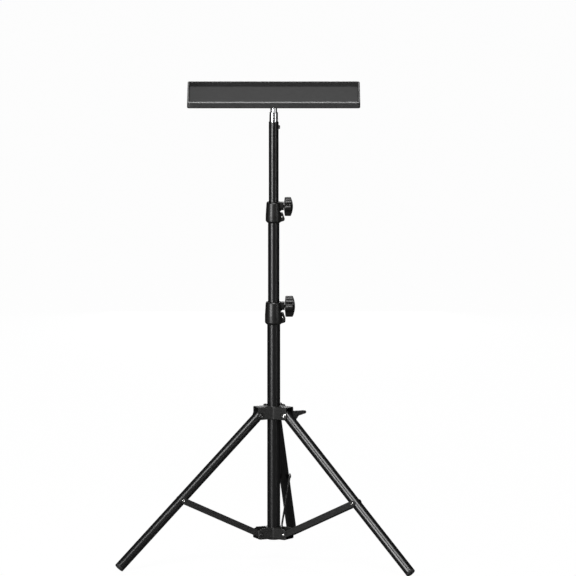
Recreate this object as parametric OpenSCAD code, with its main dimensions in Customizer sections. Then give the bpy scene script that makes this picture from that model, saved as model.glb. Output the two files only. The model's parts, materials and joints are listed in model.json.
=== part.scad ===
// Portable projector stand: a folding three-legged floor stand with two
// telescoping tubes and a rimmed tray that turns on a chromed spigot.
// Millimetres, +Z up, the feet stand on Z = 0 and the tray's front faces -Y.

/* [Tray] */
// Width of the tray, side to side
tray_w = 332; // [240:2:420]
// Depth of the tray, front to back
tray_d = 270; // [200:2:340]
// Height of the tray's edge, underside to rim
tray_h = 12.5; // [10:0.5:25]
// Thickness of the rim wall
tray_wall = 3; // [2:0.5:5]
// Thickness of the tray's floor sheet
tray_floor = 2; // [1.5:0.5:4]
// Outer radius of the tray's corners
tray_corner_r = 5.5; // [5.5:0.5:12]
// Radius of the rim's rounded outer top edge
rim_round = 2.2; // [1:0.1:2.6]
// Thickness of the grip mat that lines the floor
mat_t = 1.6; // [1:0.1:3]

/* [Tray fixing] */
// Diameter of the flange under the tray
flange_d = 72; // [60:2:100]
// Thickness of that flange
flange_t = 3; // [2:0.5:5]
// Outer diameter of the flange's socket
socket_d = 27; // [22:1:34]
// Length of the socket below the tray
socket_len = 18; // [14:1:30]
// Number of flange screws, and of ribs between them
flange_screws = 4; // [3:1:6]

/* [Telescoping tubes] */
// Outside diameter of the fixed column
column_d = 25; // [24:0.5:30]
// Outside diameter of the middle tube
middle_d = 22; // [21:0.5:22]
// Outside diameter of the top tube
top_d = 19; // [17:0.5:19]
// Wall of all three tubes
tube_wall = 1.2; // [0.8:0.1:1.2]
// Length of the fixed column
column_len = 437; // [420:0.5:520]
// Length of the middle tube
middle_len = 430; // [340:5:440]
// Length of the top tube
top_len = 430; // [340:5:440]
// Middle tube showing between the two collars
middle_out = 154.5; // [60:0.5:260]
// Top tube showing above the upper collar
top_out = 156; // [60:0.5:260]

/* [Clamp collars] */
// Wall of a collar outside its tubes
collar_wall = 4.5; // [4:0.25:6]
// Height of the lower collar below the column's end
lower_grip = 19; // [15:0.5:24]
// Height of the upper collar below the middle tube's end
upper_grip = 15.5; // [15:0.5:24]
// Height of a collar above the tube end that it grips
collar_head = 24.5; // [24:0.5:34]
// Reach of the knob's boss beyond the gripped tube
boss_reach = 8.5; // [7:0.5:12]
// Reach of the screwed lug beyond the gripped tube
lug_reach = 10.2; // [9.5:0.1:12]
// Diameter of the lower clamp knob
lower_knob_d = 41; // [32:0.5:42]
// Diameter of the upper clamp knob
upper_knob_d = 37; // [30:0.5:40]
// Depth of the lower clamp knob at its rim
lower_knob_rim = 15; // [10:0.5:18]
// Depth of the upper clamp knob at its rim
upper_knob_rim = 12.5; // [10:0.5:18]
// Height of a knob's domed face above its rim
knob_crown = 4.7; // [3:0.1:7]

/* [Spigot] */
// Diameter of the spigot's shoulder
spigot_d = 16.2; // [14:0.2:18]
// Height of the shoulder
spigot_shoulder_h = 10; // [6:0.5:14]
// Diameter of the spigot's neck
neck_d = 13; // [12:0.5:13.5]
// Neck showing between shoulder and socket
neck_h = 18; // [10:0.5:30]
// Diameter of the stud inside the socket
stud_d = 10; // [8:0.5:11]

/* [Legs] */
// Outside diameter of a leg tube
leg_d = 19; // [16:0.5:20]
// Length of a leg from its pivot to the end of its foot
leg_len = 405; // [360:0.5:460]
// Distance along a leg from its pivot to the brace's rivet
brace_at = 224; // [205:0.5:235]
// Length of a brace between its rivets
brace_len = 180.3; // [170:0.1:190]
// Height between the upper and the lower pivots
pivot_gap = 231.5; // [215:0.5:245]
// Distance of every pivot from the column's axis
pivot_r = 32; // [31:0.5:40]
// Height of the foot's head, flush with the leg
foot_head = 4; // [2.5:0.5:8]
// Length of the foot's stem inside the leg
foot_stem = 18; // [10:1:30]
// Rounding of the foot's end
foot_round = 1.5; // [0.5:0.1:2]

/* [Braces] */
// Width of a brace strip
strip_w = 12; // [10:0.5:14]
// Thickness of a brace strip
strip_t = 1.8; // [1.2:0.1:2.4]

/* [Spiders] */
// Thickness of the pressed steel
sheet_t = 2; // [1.5:0.1:2.5]
// Height of the upper spider above its pivots
upper_rise = 17.2; // [16:0.1:22]
// Depth of the upper spider below its pivots, and its arms' end radius
upper_drop = 7.6; // [7:0.1:10]
// Length of an upper arm beyond its pivot
upper_over = 6; // [5:0.5:7]
// Height of the lower spider above its pivots
lower_rise = 12; // [11:0.5:18]
// Depth of the lower spider below its pivots
lower_drop = 10; // [9.5:0.5:13]
// Length of a lower arm beyond its pivot
lower_over = 7.5; // [7:0.5:9]
// Rise of the seam flanges above a spider's top
seam_rise = 1.5; // [1:0.5:4]
// Diameter of the pivot rivets' shanks
rivet_d = 5; // [4:0.5:6]
// Diameter of the leg rivets' domed heads
leg_head_d = 14.5; // [10:0.5:15]
// Diameter of the leg rivets' rolled ends
leg_roll_d = 11.5; // [8:0.5:12]
// Diameter of the other rivets' heads and rolled ends
brace_head_d = 9; // [8:0.5:10]

/* [Clamp lever] */
// Distance of the clamp bolt from the column's axis
bolt_r = 36; // [36:0.5:42]
// Depth of the clamp bolt below the leg pivots
bolt_drop = 4.5; // [2:0.5:6]
// Radius of the lever's hub
lever_hub_r = 9.5; // [8:0.5:9.5]
// Length of the lever from its bolt to its tip
lever_len = 28; // [26:0.5:45]
// Thickness of the lever's hub
lever_t = 8; // [6:0.5:8]

/* [Hidden] */
$fn = 64;

// Leg directions, seen from above: 84 points to the back, 204 and 324 to the front
left_az = 204;
right_az = 324;
back_az = 84;
leg_azimuths = [left_az, right_az, back_az];
between_arms = 60;
clamp_az = back_az - between_arms;
seam_az = back_az + between_arms;

// Clearances
run_gap = 0.05;
pin_gap = 0.05;
side_gap = 0.7;
strip_gap = 0.4;
face_gap = 0.4;
eps = 0.01;

// Radii
column_r = column_d / 2;
middle_r = middle_d / 2;
top_r = top_d / 2;
leg_r = leg_d / 2;
rivet_r = rivet_d / 2;
hub_r = column_r + 2.6;
hub_proud = 0.4;
fold_r = sheet_t + 1;
upper_arm_half = leg_r + side_gap + sheet_t;
strip_in = leg_r + strip_gap;
strip_out = strip_in + strip_t;
lower_arm_half = strip_out + strip_gap + sheet_t;
lower_hub_r = lower_arm_half / cos(30) + 0.5;
ear_t = 2.5;
ear_slot = 1.6;
ears_half = ear_t + ear_slot / 2;
seam_t = 5;
seam_reach = 10;
boss_half = 7.2;
boss_top = 8.5;
boss_z = collar_head - boss_top - 0.5;
slot_z = 3.4;
slot_h = 4.6;
clamp_screw_r = 3;
lug_t = 11;
lug_seat = lug_t / 2 - 0.3;
lug_screw_r = 1.6;
lug_head_d = 4.6;
lug_screw_out = 4.6;
lug_screw_up = 3.8;
leg_over = 8;
screw_ring_r = flange_d / 2 - 8;
tray_screw_r = 2;

// Spread of the legs and braces from the vertical, by the law of cosines
leg_tilt = acos((pow(brace_at, 2) + pow(pivot_gap, 2) - pow(brace_len, 2)) / (2 * brace_at * pivot_gap));
brace_tilt = asin(brace_at * sin(leg_tilt) / brace_len);

// Heights
upper_pivot_z = (leg_len - foot_round) * cos(leg_tilt) + (leg_r - foot_round) * sin(leg_tilt) + foot_round;
lower_pivot_z = upper_pivot_z - pivot_gap;
column_z = lower_pivot_z - lower_drop - hub_proud;
column_top_z = column_z + column_len;
middle_top_z = column_top_z + collar_head + middle_out + upper_grip;
top_top_z = middle_top_z + collar_head + top_out;
tray_z = top_top_z + spigot_shoulder_h + neck_h + socket_len;

// Reach of a foot along one axis of the frame: its end disc and its rounding
function foot_reach(along) =
    (pivot_r + (leg_len - foot_round) * sin(leg_tilt)) * along
    + (leg_r - foot_round) * sqrt(1 - pow(along * sin(leg_tilt), 2)) + foot_round;
mast_x = (foot_reach(-cos(left_az)) - foot_reach(cos(right_az))) / 2;
mast_y = (foot_reach(-sin(right_az)) - foot_reach(sin(back_az))) / 2;

// Colours
tube_black = [0.05, 0.05, 0.055];
steel_black = [0.1, 0.1, 0.105];
plastic_black = [0.08, 0.08, 0.08];
rubber_black = [0.06, 0.06, 0.06];
bright_steel = [0.75, 0.75, 0.77];
chromed = [0.85, 0.86, 0.88];
tray_grey = [0.14, 0.14, 0.145];
mat_grey = [0.25, 0.25, 0.25];

// Places its children on the column's axis
module on_mast(z = 0) {
    translate([mast_x, mast_y, z]) children();
}

// Places its children on an arm: X runs outwards from the axis
module on_arm(azimuth, z = 0) {
    on_mast(z) rotate([0, 0, azimuth]) children();
}

// Places its children on a leg: X runs from the pivot to the foot
module on_leg(azimuth) {
    on_arm(azimuth, upper_pivot_z) translate([pivot_r, 0, 0]) rotate([0, 90 - leg_tilt, 0]) children();
}

// Places its children on a brace: X runs from its lower to its upper rivet
module on_brace(azimuth) {
    on_arm(azimuth, lower_pivot_z) translate([pivot_r, 0, 0]) rotate([0, brace_tilt - 90, 0]) children();
}

// Cylinder along Y, centred on the origin
module cross_rod(r, len) {
    rotate([90, 0, 0]) cylinder(r = r, h = len, center = true);
}

// Straight round tube along Z
module pipe(r, wall, len) {
    difference() {
        cylinder(r = r, h = len);
        translate([0, 0, -eps]) cylinder(r = r - wall, h = len + 2 * eps);
    }
}

// Rectangle with round corners, centred
module round_rect(w, d, r) {
    square([w - 2 * r, d], center = true);
    square([w, d - 2 * r], center = true);
    for (sx = [-1, 1], sy = [-1, 1])
        translate([sx * (w / 2 - r), sy * (d / 2 - r)]) circle(r = r);
}

// Domed rivet head standing on Z = 0
module rivet_head(d, h) {
    ball_r = (pow(d / 2, 2) + h * h) / (2 * h);
    intersection() {
        translate([0, 0, h - ball_r]) sphere(r = ball_r);
        cylinder(r = d / 2, h = h);
    }
}

// Rolled end of a tubular rivet standing on Z = 0: a round bead about a hollow
module rolled_end(d) {
    bead = d / 5;
    rotate_extrude() {
        square([d / 2 - bead, bead * 0.45]);
        intersection() {
            translate([d / 2 - bead, 0]) circle(r = bead);
            square([d, d]);
        }
    }
}

// Rivet along Y: a domed head on the -Y side, a rolled end on the other; grip is the length between
module rivet(grip, head_d, roll_d) {
    cross_rod(rivet_r, grip);
    translate([0, -grip / 2, 0]) rotate([90, 0, 0]) rivet_head(head_d, head_d * 0.27);
    translate([0, grip / 2, 0]) rotate([-90, 0, 0]) rolled_end(roll_d);
}

// Plug pressed into the lower end of a tube, with a flange that guides it or closes it
module end_plug(bore_r, flange_r, flange_h, depth) {
    translate([0, 0, -flange_h]) cylinder(r = flange_r, h = flange_h);
    difference() {
        cylinder(r = bore_r, h = depth);
        translate([0, 0, eps]) cylinder(r = bore_r - 2, h = depth);
    }
}

// Fixed column and its bottom plug
module column_tube() {
    color(tube_black) on_mast(column_z) pipe(column_r, tube_wall, column_len);
}

module column_plug() {
    color(plastic_black) on_mast(column_z) end_plug(column_r - tube_wall, column_r, 2, 14);
}

// Side outline of an upper arm: X outwards, Y up, origin on the pivot
module upper_arm_side() {
    translate([-pivot_r, -upper_drop]) square([pivot_r, upper_drop + upper_rise]);
    translate([-1, 0]) square([upper_over + 1, upper_rise]);
    intersection() {
        circle(r = upper_drop);
        translate([-1, -upper_drop]) square([upper_over + 1, upper_drop + 1]);
    }
}

// Cross-section of an upper arm: a channel closed at the top, with rounded folds
module upper_arm_section() {
    total_h = upper_rise + upper_drop;
    difference() {
        union() {
            translate([-upper_arm_half, -upper_drop]) square([2 * upper_arm_half, total_h - fold_r]);
            translate([0, upper_rise - fold_r]) round_rect(2 * upper_arm_half, 2 * fold_r, fold_r - eps);
        }
        translate([-upper_arm_half + sheet_t, -upper_drop - 1])
            square([2 * (upper_arm_half - sheet_t), total_h + 1 - sheet_t]);
    }
}

module upper_arm() {
    intersection() {
        rotate([90, 0, 90]) linear_extrude(height = pivot_r + upper_over + 1) upper_arm_section();
        translate([pivot_r, 0, 0]) rotate([90, 0, 0])
            linear_extrude(height = 3 * upper_arm_half, center = true) upper_arm_side();
    }
}

// Side outline of a seam flange: it rises above the hub and slopes down outwards
module seam_side(inner_r, drop, rise, reach) {
    root = inner_r - 1;
    tip = inner_r + reach;
    polygon([
        [root, -drop + 1], [tip - 4, -drop + 1], [tip, -drop + 5], [tip, rise - 4],
        [tip - 3, rise + seam_rise], [root + 3, rise + seam_rise], [root + 1.5, rise - 2], [root, rise - 2]
    ]);
}

// Side outline of a clamp ear: it runs from the hub to an eye round the bolt
module clamp_ear_side() {
    eye_r = 7;
    shoulder_z = upper_rise - 8;
    seam_side(hub_r, upper_drop, upper_rise, seam_reach);
    translate([bolt_r, -bolt_drop]) circle(r = eye_r);
    polygon([
        [hub_r - 1, -upper_drop], [bolt_r, -bolt_drop - eye_r], [bolt_r, -bolt_drop + eye_r],
        [hub_r + seam_reach, shoulder_z], [hub_r - 1, shoulder_z]
    ]);
}

// Pair of clamp ears, split by a slot and drilled for the bolt
module clamp_ears() {
    difference() {
        rotate([90, 0, 0]) linear_extrude(height = 2 * ear_t + ear_slot, center = true) clamp_ear_side();
        translate([bolt_r, 0, -bolt_drop]) cross_rod(rivet_r, 20);
    }
}

module upper_spider() {
    color(steel_black) on_mast(upper_pivot_z) difference() {
        union() {
            translate([0, 0, -upper_drop - hub_proud])
                cylinder(r = hub_r, h = upper_drop + upper_rise + 2 * hub_proud);
            for (azimuth = leg_azimuths) rotate([0, 0, azimuth]) upper_arm();
            rotate([0, 0, clamp_az]) clamp_ears();
            rotate([0, 0, seam_az]) rotate([90, 0, 0])
                linear_extrude(height = seam_t, center = true)
                    seam_side(hub_r, upper_drop, upper_rise, seam_reach);
        }
        translate([0, 0, -upper_drop - 5]) cylinder(r = column_r + run_gap, h = 60);
        for (azimuth = leg_azimuths) rotate([0, 0, azimuth]) translate([pivot_r, 0, 0])
            cross_rod(rivet_r, 3 * upper_arm_half);
        rotate([0, 0, clamp_az]) translate([column_r - 1, -ear_slot / 2, -upper_drop - 8])
            cube([bolt_r, ear_slot, 60]);
    }
}

module leg_rivets() {
    color(bright_steel) for (azimuth = leg_azimuths)
        on_arm(azimuth, upper_pivot_z) translate([pivot_r, 0, 0])
            rivet(2 * upper_arm_half, leg_head_d, leg_roll_d);
}

// Clamp bolt and nut through the ears
module clamp_bolt() {
    color(bright_steel) on_arm(clamp_az, upper_pivot_z) translate([bolt_r, 0, -bolt_drop]) {
        translate([0, -(lever_t - 2) / 2, 0]) cross_rod(rivet_r, 2 * ears_half + lever_t - 2);
        translate([0, ears_half, 0]) rotate([-90, 0, 0]) cylinder(r = 5.2, h = 4, $fn = 6);
    }
}

// Clamp lever: a round hub with one tapered arm whose top edge is straight
module lever_side() {
    tip_r = 3.2;
    difference() {
        union() {
            circle(r = lever_hub_r);
            polygon([
                [0, lever_hub_r], [lever_len - tip_r, lever_hub_r], [lever_len - tip_r, lever_hub_r - 2 * tip_r],
                [lever_hub_r + 3, lever_hub_r - 2 * tip_r - 3], [lever_hub_r, -4], [0, -4]
            ]);
            translate([lever_len - tip_r, lever_hub_r - tip_r]) circle(r = tip_r);
        }
        translate([lever_hub_r + 6.2, -5.2]) circle(r = 6);
    }
}

module clamp_lever() {
    color(plastic_black) on_arm(clamp_az, upper_pivot_z)
        translate([bolt_r, -ears_half - face_gap, -bolt_drop]) rotate([90, 0, 0]) difference() {
            union() {
                linear_extrude(height = lever_t) circle(r = lever_hub_r);
                translate([0, 0, 0.8]) linear_extrude(height = lever_t - 1.6) lever_side();
            }
            translate([0, 0, -eps]) cylinder(r = rivet_r + pin_gap, h = lever_t - 2 + 4 * eps);
        }
}

// Side outline of a lower arm: closed floor, rounded end below the pivot
module lower_arm_side() {
    translate([-pivot_r, -lower_drop]) square([pivot_r, lower_drop + lower_rise]);
    translate([-1, 0]) square([lower_over + 3, lower_rise - 4]);
    circle(r = lower_drop);
}

module lower_arm_section() {
    total_h = lower_rise + lower_drop;
    difference() {
        union() {
            translate([-lower_arm_half, -lower_drop + fold_r]) square([2 * lower_arm_half, total_h - fold_r]);
            translate([0, -lower_drop + fold_r]) round_rect(2 * lower_arm_half, 2 * fold_r, fold_r - eps);
        }
        translate([-lower_arm_half + sheet_t, -lower_drop + sheet_t])
            square([2 * (lower_arm_half - sheet_t), total_h]);
    }
}

// Plan of a lower arm: round corners at its end, a little wider than the arm so that its sides stay flat
module lower_arm_plan() {
    corner_r = 5.5;
    end_x = pivot_r + lower_over;
    round_rect(2 * end_x, 2 * lower_arm_half + 0.8, corner_r);
}

module lower_arm() {
    intersection() {
        rotate([90, 0, 90]) linear_extrude(height = pivot_r + lower_over + 1) lower_arm_section();
        translate([pivot_r, 0, 0]) rotate([90, 0, 0])
            linear_extrude(height = 3 * lower_arm_half, center = true) lower_arm_side();
        translate([0, 0, -lower_drop - 1]) linear_extrude(height = 2 * pivot_r) lower_arm_plan();
    }
}

module lower_spider() {
    color(steel_black) on_mast(lower_pivot_z) difference() {
        union() {
            translate([0, 0, -lower_drop - hub_proud])
                cylinder(r = lower_hub_r, h = lower_drop + lower_rise + 2 * hub_proud);
            for (azimuth = leg_azimuths) rotate([0, 0, azimuth]) lower_arm();
            for (azimuth = [clamp_az, seam_az]) rotate([0, 0, azimuth]) rotate([90, 0, 0])
                linear_extrude(height = seam_t, center = true)
                    seam_side(lower_hub_r, lower_drop, lower_rise - 2, seam_reach - 4);
        }
        translate([0, 0, -lower_drop - 5]) cylinder(r = column_r, h = 60);
        for (azimuth = leg_azimuths) rotate([0, 0, azimuth]) translate([pivot_r, 0, 0])
            cross_rod(rivet_r, 3 * lower_arm_half);
    }
}

// Lower rivets, each with the spacer sleeve that keeps its two strips apart
module lower_rivets() {
    color(bright_steel) for (azimuth = leg_azimuths)
        on_arm(azimuth, lower_pivot_z) translate([pivot_r, 0, 0]) {
            rivet(2 * lower_arm_half, brace_head_d, brace_head_d);
            cross_rod(rivet_r + 1.5, 2 * (strip_in - strip_gap));
        }
}

// Side outline of a collar's lug: X outwards, Y up. Its upper edge slopes down under the knob.
module lug_side(grip_r, grip) {
    lug_out = grip_r + lug_reach;
    corner_r = 3.5;
    polygon([
        [0, -grip + 2], [grip_r + collar_wall, -grip + 2], [lug_out - corner_r, -grip + 3],
        [lug_out - corner_r, -grip + 3 + corner_r], [lug_out, -grip + 3 + corner_r], [lug_out, -8],
        [grip_r + 5.8, slot_z + 1], [0, slot_z + 1]
    ]);
    translate([lug_out - corner_r, -grip + 3 + corner_r]) circle(r = corner_r);
}

// Clamp collar. The gripped tube ends at Z = 0; the sliding tube runs through.
module collar(grip_r, slide_r, grip, bore_r) {
    base_r = grip_r + collar_wall;
    neck_r = slide_r + collar_wall;
    slot_tip = slide_r + 1.4;
    split = 0.8;
    difference() {
        union() {
            rotate_extrude() polygon([
                [0, -grip], [base_r - 2.8, -grip], [base_r, -grip + 3.4], [base_r, -2],
                [neck_r, collar_head - 2], [neck_r - 1.2, collar_head], [0, collar_head]
            ]);
            translate([0, 0, boss_z]) rotate([90, 0, 90]) linear_extrude(height = grip_r + boss_reach) {
                circle(r = boss_half);
                translate([-boss_half, 0]) square([2 * boss_half, boss_top]);
            }
            rotate([90, 0, 0]) linear_extrude(height = lug_t, center = true) lug_side(grip_r, grip);
        }
        translate([0, 0, -grip - 1]) cylinder(r = grip_r, h = grip + 1);
        translate([0, 0, -1]) cylinder(r = bore_r, h = collar_head + 2);
        rotate([90, 0, 0]) linear_extrude(height = 80, center = true) polygon([
            [slot_tip, slot_z + 1.4], [grip_r + 4, slot_z], [60, slot_z],
            [60, slot_z + slot_h], [grip_r + 4, slot_z + slot_h], [slot_tip, slot_z + slot_h - 1.4]
        ]);
        translate([grip_r - 1, -split, -grip - 1]) cube([60, 2 * split, grip + slot_z + 2]);
        translate([slide_r - 1, 0, boss_z]) rotate([0, 90, 0]) cylinder(r = clamp_screw_r + run_gap, h = 60);
        translate([grip_r + lug_screw_out, 0, -grip / 2 + lug_screw_up]) {
            cross_rod(lug_screw_r, 80);
            for (side = [-1, 1]) translate([0, side * (lug_seat + 10), 0]) cross_rod(lug_head_d / 2 + 0.3, 20);
        }
    }
}

// Cross screw that closes a collar on the tube it grips
module collar_cross_screw(grip_r, grip) {
    translate([grip_r + lug_screw_out, 0, -grip / 2 + lug_screw_up]) {
        cross_rod(lug_screw_r, 2 * lug_seat);
        for (side = [-1, 1])
            translate([0, side * lug_seat, 0]) rotate([-side * 90, 0, 0]) rivet_head(lug_head_d, 1.5);
    }
}

module lower_collar() {
    color(plastic_black) on_mast(column_top_z) collar(column_r, middle_r, lower_grip, middle_r + run_gap);
}

module lower_collar_screw() {
    color(bright_steel) on_mast(column_top_z) collar_cross_screw(column_r, lower_grip);
}

module upper_collar() {
    color(plastic_black) on_mast(middle_top_z) collar(middle_r, top_r, upper_grip, top_r + run_gap);
}

module upper_collar_screw() {
    color(bright_steel) on_mast(middle_top_z) collar_cross_screw(middle_r, upper_grip);
}

// Cross-section of a knob: four round lobes with a hollow between each two. The hollows nearly touch
// the lobes' flanks: waist_r is what is left of the section half-way between two lobes.
module knob_section(knob_r) {
    lobe_r = knob_r * 0.33;
    waist_r = knob_r * 0.64;
    lobe_at = knob_r - lobe_r;
    blend_r = (pow(waist_r, 2) + pow(lobe_at, 2) - pow(lobe_r, 2) - sqrt(2) * lobe_at * waist_r)
        / (2 * lobe_r - 2 * waist_r + sqrt(2) * lobe_at);
    difference() {
        union() {
            circle(r = knob_r * 0.76);
            for (i = [0:3]) rotate(90 * i) translate([lobe_at, 0]) circle(r = lobe_r);
        }
        for (i = [0:3]) rotate(45 + 90 * i) translate([waist_r + blend_r, 0]) circle(r = blend_r + 0.4);
    }
}

// Clamp knob on the end of its screw, with a domed face and a back that slopes away; X is the screw's axis
module knob(knob_d, rim, grip_r, slide_r) {
    knob_r = knob_d / 2;
    dome_r = (pow(knob_r, 2) + pow(knob_crown, 2)) / (2 * knob_crown);
    face_x = grip_r + boss_reach + face_gap;
    translate([0, 0, boss_z]) rotate([0, 90, 0]) {
        translate([0, 0, face_x]) intersection() {
            rotate_extrude() intersection() {
                polygon([
                    [0, 0], [boss_half, 0], [knob_r - 1.4, 1.2], [knob_r, 2.6], [knob_r, rim - 2.4],
                    [knob_r - 1.6, rim + knob_crown], [0, rim + knob_crown + 1]
                ]);
                translate([0, rim + knob_crown - dome_r]) circle(r = dome_r, $fn = 128);
            }
            translate([0, 0, -1]) linear_extrude(height = rim + knob_crown + 2) knob_section(knob_r);
        }
        translate([0, 0, slide_r + face_gap]) cylinder(r = clamp_screw_r, h = face_x - slide_r - face_gap + 2);
    }
}

module lower_knob() {
    color(plastic_black) on_mast(column_top_z) knob(lower_knob_d, lower_knob_rim, column_r, middle_r);
}

module upper_knob() {
    color(plastic_black) on_mast(middle_top_z) knob(upper_knob_d, upper_knob_rim, middle_r, top_r);
}

// Leg: tube, top plug, brace pin and foot
module leg_tube(azimuth) {
    color(tube_black) on_leg(azimuth) difference() {
        translate([-leg_over, 0, 0]) rotate([0, 90, 0]) pipe(leg_r, tube_wall, leg_len - foot_head + leg_over);
        cross_rod(rivet_r + pin_gap, 2 * leg_d);
        translate([brace_at, 0, 0]) cross_rod(rivet_r, 2 * leg_d);
    }
}

module leg_plug(azimuth) {
    color(plastic_black) on_leg(azimuth) difference() {
        translate([-leg_over, 0, 0]) rotate([0, 90, 0]) cylinder(r = leg_r - tube_wall, h = 2 * leg_over);
        cross_rod(rivet_r + pin_gap, 2 * leg_d);
    }
}

module leg_pin(azimuth) {
    color(bright_steel) on_leg(azimuth) translate([brace_at, 0, 0]) cross_rod(rivet_r, leg_d - 0.4);
}

// Rubber foot: a head flush with the leg, and a hollow ribbed stem pressed into it
module foot(azimuth) {
    bore_r = leg_r - tube_wall;
    color(rubber_black) on_leg(azimuth) translate([leg_len, 0, 0]) rotate([0, -90, 0])
        rotate_extrude() {
            square([leg_r - foot_round, foot_head]);
            translate([0, foot_round]) square([leg_r, foot_head - foot_round]);
            intersection() {
                translate([leg_r - foot_round, foot_round]) circle(r = foot_round);
                square([leg_r, foot_head]);
            }
            translate([bore_r - 3, foot_head - eps]) square([2.4, foot_stem + eps]);
            for (i = [0:2]) translate([bore_r - 1, foot_head + foot_stem * (0.15 + 0.3 * i)]) square([1, 2]);
        }
}

// Brace: two flat strips, one on each side of its leg
module brace(azimuth) {
    color(steel_black) on_brace(azimuth) for (side = [-1, 1])
        translate([0, side * (strip_in + strip_t / 2), 0]) rotate([90, 0, 0])
            linear_extrude(height = strip_t, center = true) difference() {
                union() {
                    translate([0, -strip_w / 2]) square([brace_len, strip_w]);
                    for (x = [0, brace_len]) translate([x, 0]) circle(r = strip_w / 2);
                }
                circle(r = rivet_r + pin_gap);
            }
}

module brace_rivet(azimuth) {
    color(bright_steel) on_brace(azimuth) for (side = [-1, 1])
        translate([brace_len, side * strip_out, 0]) rotate([-side * 90, 0, 0])
            rolled_end(brace_head_d);
}

// Middle and top tubes with the plugs that guide their lower ends
module middle_tube() {
    color(tube_black) on_mast(middle_top_z - middle_len) pipe(middle_r, tube_wall, middle_len);
}

module middle_bush() {
    color(plastic_black) on_mast(middle_top_z - middle_len)
        end_plug(middle_r - tube_wall, column_r - tube_wall - run_gap, 5, 12);
}

module top_tube() {
    color(tube_black) on_mast(top_top_z - top_len) pipe(top_r, tube_wall, top_len);
}

module top_bush() {
    color(plastic_black) on_mast(top_top_z - top_len)
        end_plug(top_r - tube_wall, middle_r - tube_wall - run_gap, 5, 12);
}

// Chromed spigot: plug in the tube, bevelled shoulder, neck and stud
module spigot() {
    shoulder_r = spigot_d / 2;
    bevel = 1.4;
    color(chromed) on_mast(top_top_z) rotate_extrude() polygon([
        [0, -24], [top_r - tube_wall, -24], [top_r - tube_wall, 0], [shoulder_r - bevel / 2, 0],
        [shoulder_r, bevel], [shoulder_r, spigot_shoulder_h - 2 * bevel], [neck_d / 2, spigot_shoulder_h],
        [neck_d / 2, spigot_shoulder_h + neck_h - face_gap], [stud_d / 2, spigot_shoulder_h + neck_h - face_gap],
        [stud_d / 2, spigot_shoulder_h + neck_h + socket_len - 3],
        [0, spigot_shoulder_h + neck_h + socket_len - 3]
    ]);
}

// Side screw that locks the spigot in the tube
module spigot_screw() {
    color(bright_steel) on_mast(top_top_z - 10.5) difference() {
        rotate([0, 90, 0]) translate([0, 0, top_r - 1]) rivet_head(8, 3.8);
        translate([0, 0, -10]) cylinder(r = top_r, h = 20);
    }
}

// Profile swept round the tray's edge: X outwards from the corner's centre, Y up
module rim_profile() {
    base_round = 2;
    difference() {
        square([tray_corner_r, tray_h]);
        translate([-eps, tray_floor]) square([tray_corner_r - tray_wall + eps, tray_h]);
        translate([tray_corner_r - rim_round, tray_h - rim_round]) difference() {
            square(rim_round + 1);
            circle(r = rim_round);
        }
        translate([tray_corner_r - base_round, 0]) difference() {
            translate([0, -1]) square([base_round + 1, base_round + 1]);
            translate([0, base_round]) circle(r = base_round);
        }
    }
}

module tray_pan() {
    corner_x = tray_w / 2 - tray_corner_r;
    corner_y = tray_d / 2 - tray_corner_r;
    color(tray_grey) on_mast(tray_z) union() {
        translate([-corner_x, -corner_y, 0]) cube([2 * corner_x, 2 * corner_y, tray_floor]);
        for (quarter = [0:3]) {
            side_len = quarter % 2 == 0 ? 2 * corner_y : 2 * corner_x;
            reach = quarter % 2 == 0 ? corner_x : corner_y;
            rotate([0, 0, 90 * quarter]) translate([reach, side_len / 2, 0]) {
                rotate_extrude(angle = 90) rim_profile();
                rotate([90, 0, 0]) linear_extrude(height = side_len) rim_profile();
            }
        }
    }
}

module tray_mat() {
    gap = 0.6;
    color(mat_grey) on_mast(tray_z + tray_floor) linear_extrude(height = mat_t)
        round_rect(tray_w - 2 * tray_wall - 2 * gap, tray_d - 2 * tray_wall - 2 * gap, 2);
}

// Flange and socket under the tray, stiffened by ribs between the screws
module tray_flange() {
    socket_r = socket_d / 2;
    rib_r = flange_d / 2 - 2;
    rib_foot_z = -socket_len + 3;
    color(plastic_black) on_mast(tray_z) difference() {
        union() {
            translate([0, 0, -flange_t]) cylinder(r = flange_d / 2, h = flange_t);
            translate([0, 0, -socket_len]) cylinder(r = socket_r, h = socket_len);
            for (i = [0:flange_screws - 1]) rotate([0, 0, 360 / flange_screws * (i + 0.5)])
                rotate([90, 0, 0]) linear_extrude(height = 2.4, center = true) polygon([
                    [0, -flange_t / 2], [rib_r, -flange_t / 2], [socket_r + 1, rib_foot_z], [0, rib_foot_z]
                ]);
        }
        translate([0, 0, -socket_len - 1]) cylinder(r = stud_d / 2 + run_gap, h = socket_len - 1);
        for (i = [0:flange_screws - 1]) rotate([0, 0, 360 / flange_screws * i])
            translate([screw_ring_r, 0, -flange_t - 1]) cylinder(r = tray_screw_r, h = flange_t + 2);
    }
}

module tray_screws() {
    color(bright_steel) on_mast(tray_z) for (i = [0:flange_screws - 1])
        rotate([0, 0, 360 / flange_screws * i]) translate([screw_ring_r, 0, -flange_t]) {
            cylinder(r = tray_screw_r, h = flange_t);
            mirror([0, 0, 1]) rivet_head(7.5, 2.4);
        }
}

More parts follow.
